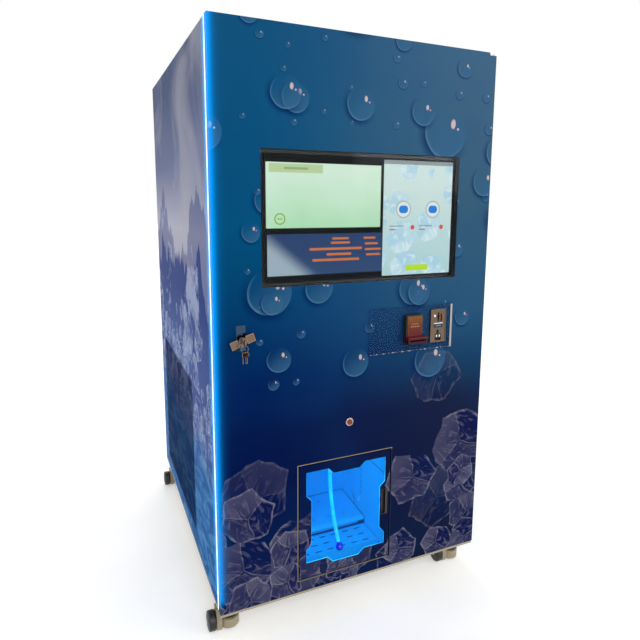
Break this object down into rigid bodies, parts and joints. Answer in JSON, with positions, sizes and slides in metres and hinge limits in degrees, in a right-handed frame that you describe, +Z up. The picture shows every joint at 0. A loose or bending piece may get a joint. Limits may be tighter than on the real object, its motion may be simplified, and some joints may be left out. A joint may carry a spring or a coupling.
{
  "type": "ice vending machine",
  "caption": "Tall cabinet on levelling casters with a full-height front door, wide display, payment units, lock handle and a lit outlet hatch over an ice compartment.",
  "frame": {"origin": "on the floor under the middle of the machine's bounding box", "axes": "+Z up; the door faces -Y; +X is to the right of a person facing the door"},
  "size_m": [1.089, 1.339, 2],
  "materials": {
    "cream_paint": "semi-gloss powder coat",
    "galvanised_steel": "dull zinc",
    "side_print": "gloss printed film over steel, pale icy blues",
    "vent_print": "gloss printed film over perforated steel",
    "pale_paint": "satin powder coat",
    "lit_diffuser": "frosted diffuser, lit cyan white",
    "gasket_rubber": "matte magnetic gasket",
    "zinc_steel": "bright zinc plate",
    "front_print": "gloss printed film over steel, deep blues",
    "screen_glass": "polished cover glass",
    "screen_black": "black case, lit picture behind the glass",
    "clear_acrylic": "polished acrylic",
    "dark_plastic": "fine moulded texture",
    "lit_orange": "translucent, lit orange to red",
    "bright_chrome": "polished",
    "black_plastic": "moulded",
    "red_button": "moulded, dark red",
    "nickel": "nickel plate",
    "blue_pane": "clear sheet with a blue cast",
    "satin_steel": "satin stainless",
    "lit_blue": "frosted, lit blue",
    "lit_hose": "translucent hose that glows cyan",
    "blue_plastic": "polished ball",
    "bin_plastic": "foam-filled plastic walls",
    "motor_paint": "machine enamel",
    "black_enamel": "gloss enamel",
    "fin_aluminium": "bare fins",
    "fan_plastic": "moulded",
    "inlet_brass": "turned",
    "caster_paint": "cast, painted beige",
    "wheel_nylon": "nylon tread",
    "foot_rubber": "moulded rubber pad and ring"
  },
  "bodies": {
    "cabinet": {"base_frame": "cream_paint", "upper_frame": "galvanised_steel", "left_side_panel": "side_print", "right_side_panel": "side_print", "left_vent_grille": "vent_print", "rear_panel": "pale_paint", "top_panel": "pale_paint", "led_strip": "lit_diffuser", "door_gasket": "gasket_rubber", "door_hinges": "zinc_steel", "outlet_liner": "satin_steel", "chute_ramp": "satin_steel", "compartment_light": "lit_blue", "hose_gland": "black_plastic", "drink_hose": "lit_hose", "hose_nozzle": "blue_plastic", "ice_chute": "satin_steel", "ice_bin": "bin_plastic", "auger_motor": "motor_paint", "ice_maker": "bin_plastic", "compressor": "black_enamel", "condenser": "fin_aluminium", "fan_motor": "black_enamel", "water_inlet": "inlet_brass", "cable_gland": "black_plastic", "caster_plates": "caster_paint"},
    "front_door": {"door_skin": "front_print", "door_frame": "galvanised_steel", "display_glass": "screen_glass", "display_module": "screen_black", "acceptor_plate": "clear_acrylic", "note_acceptor": "dark_plastic", "note_bezel": "lit_orange", "coin_acceptor": "bright_chrome", "button_bezel": "bright_chrome", "lock_plate": "bright_chrome", "control_box": "pale_paint"},
    "hatch": {"hatch_panel": "front_print", "hatch_pane": "blue_pane", "hatch_pull": "satin_steel"},
    "lock_handle": {"t_handle": "bright_chrome"},
    "lock_barrel": {"lock_key": "nickel"},
    "spare_keys": {"key_ring": "nickel"},
    "dispense_button": {"push_button": "red_button"},
    "coin_return": {"coin_return_button": "black_plastic"},
    "tray": {"drain_tray": "satin_steel"},
    "ice_auger": {"auger": "satin_steel"},
    "fan": {"condenser_fan": "fan_plastic"},
    "front_left_swivel": {"caster_front_left_housing": "caster_paint"},
    "front_left_wheel": {"caster_front_left_wheel": "wheel_nylon"},
    "front_left_foot": {"caster_front_left_foot": "foot_rubber"},
    "front_right_swivel": {"caster_front_right_housing": "caster_paint"},
    "front_right_wheel": {"caster_front_right_wheel": "wheel_nylon"},
    "front_right_foot": {"caster_front_right_foot": "foot_rubber"},
    "rear_left_swivel": {"caster_rear_left_housing": "caster_paint"},
    "rear_left_wheel": {"caster_rear_left_wheel": "wheel_nylon"},
    "rear_left_foot": {"caster_rear_left_foot": "foot_rubber"},
    "rear_right_swivel": {"caster_rear_right_housing": "caster_paint"},
    "rear_right_wheel": {"caster_rear_right_wheel": "wheel_nylon"},
    "rear_right_foot": {"caster_rear_right_foot": "foot_rubber"}
  },
  "joints": [
    {"name": "front_door_hinge", "type": "hinge", "parent": "cabinet", "child": "front_door", "pos_m": [0.5, -0.5995, 1.05], "axis": [0, 0, 1], "range_deg": [0, 115]},
    {"name": "hatch_hinge", "type": "hinge", "parent": "front_door", "child": "hatch", "pos_m": [-0.229, -0.6065, 0.3705], "axis": [0, 0, -1], "range_deg": [0, 100]},
    {"name": "lock_handle_turn", "type": "hinge", "parent": "front_door", "child": "lock_handle", "pos_m": [-0.431, -0.6135, 1.045], "axis": [0, -1, 0], "range_deg": [0, 70]},
    {"name": "key_turn", "type": "hinge", "parent": "lock_handle", "child": "lock_barrel", "pos_m": [-0.431, -0.6395, 1.045], "axis": [0, -1, 0], "range_deg": [0, 90]},
    {"name": "key_ring_swing", "type": "hinge", "parent": "lock_barrel", "child": "spare_keys", "pos_m": [-0.431, -0.6585, 1.0382], "axis": [-1, 0, 0], "range_deg": [-5, 60]},
    {"name": "dispense_button_push", "type": "slide", "parent": "front_door", "child": "dispense_button", "axis": [0, 1, 0], "range_m": [0, 0.003], "stiffness_N_per_m": 400},
    {"name": "coin_return_push", "type": "slide", "parent": "front_door", "child": "coin_return", "axis": [0, 1, 0], "range_m": [0, 0.003], "stiffness_N_per_m": 400},
    {"name": "tray_lift", "type": "slide", "parent": "cabinet", "child": "tray", "axis": [0, 0, 1], "range_m": [0, 0.006]},
    {"name": "auger_turn", "type": "hinge", "parent": "cabinet", "child": "ice_auger", "pos_m": [-0.058, 0.1115, 0.912], "axis": [0, 1, 0], "continuous": true},
    {"name": "fan_turn", "type": "hinge", "parent": "cabinet", "child": "fan", "pos_m": [-0.417, 0.0265, 0.354], "axis": [1, 0, 0], "continuous": true},
    {"name": "front_left_swivel_turn", "type": "hinge", "parent": "cabinet", "child": "front_left_swivel", "pos_m": [-0.467, -0.5265, 0.082], "axis": [0, 0, 1], "continuous": true},
    {"name": "front_left_wheel_roll", "type": "hinge", "parent": "front_left_swivel", "child": "front_left_wheel", "pos_m": [-0.529, -0.5265, 0.034], "axis": [1, 0, 0], "continuous": true},
    {"name": "front_left_foot_screw", "type": "slide", "parent": "front_left_swivel", "child": "front_left_foot", "axis": [0, 0, -1], "range_m": [0, 0.012]},
    {"name": "front_right_swivel_turn", "type": "hinge", "parent": "cabinet", "child": "front_right_swivel", "pos_m": [0.467, -0.5265, 0.082], "axis": [0, 0, 1], "continuous": true},
    {"name": "front_right_wheel_roll", "type": "hinge", "parent": "front_right_swivel", "child": "front_right_wheel", "pos_m": [0.405, -0.5265, 0.034], "axis": [1, 0, 0], "continuous": true},
    {"name": "front_right_foot_screw", "type": "slide", "parent": "front_right_swivel", "child": "front_right_foot", "axis": [0, 0, -1], "range_m": [0, 0.012]},
    {"name": "rear_left_swivel_turn", "type": "hinge", "parent": "cabinet", "child": "rear_left_swivel", "pos_m": [-0.467, 0.5545, 0.082], "axis": [0, 0, 1], "continuous": true},
    {"name": "rear_left_wheel_roll", "type": "hinge", "parent": "rear_left_swivel", "child": "rear_left_wheel", "pos_m": [-0.529, 0.5545, 0.034], "axis": [1, 0, 0], "continuous": true},
    {"name": "rear_left_foot_screw", "type": "slide", "parent": "rear_left_swivel", "child": "rear_left_foot", "axis": [0, 0, -1], "range_m": [0, 0.012]},
    {"name": "rear_right_swivel_turn", "type": "hinge", "parent": "cabinet", "child": "rear_right_swivel", "pos_m": [0.467, 0.5545, 0.082], "axis": [0, 0, 1], "continuous": true},
    {"name": "rear_right_wheel_roll", "type": "hinge", "parent": "rear_right_swivel", "child": "rear_right_wheel", "pos_m": [0.529, 0.5545, 0.034], "axis": [1, 0, 0], "continuous": true},
    {"name": "rear_right_foot_screw", "type": "slide", "parent": "rear_right_swivel", "child": "rear_right_foot", "axis": [0, 0, -1], "range_m": [0, 0.012]}
  ]
}
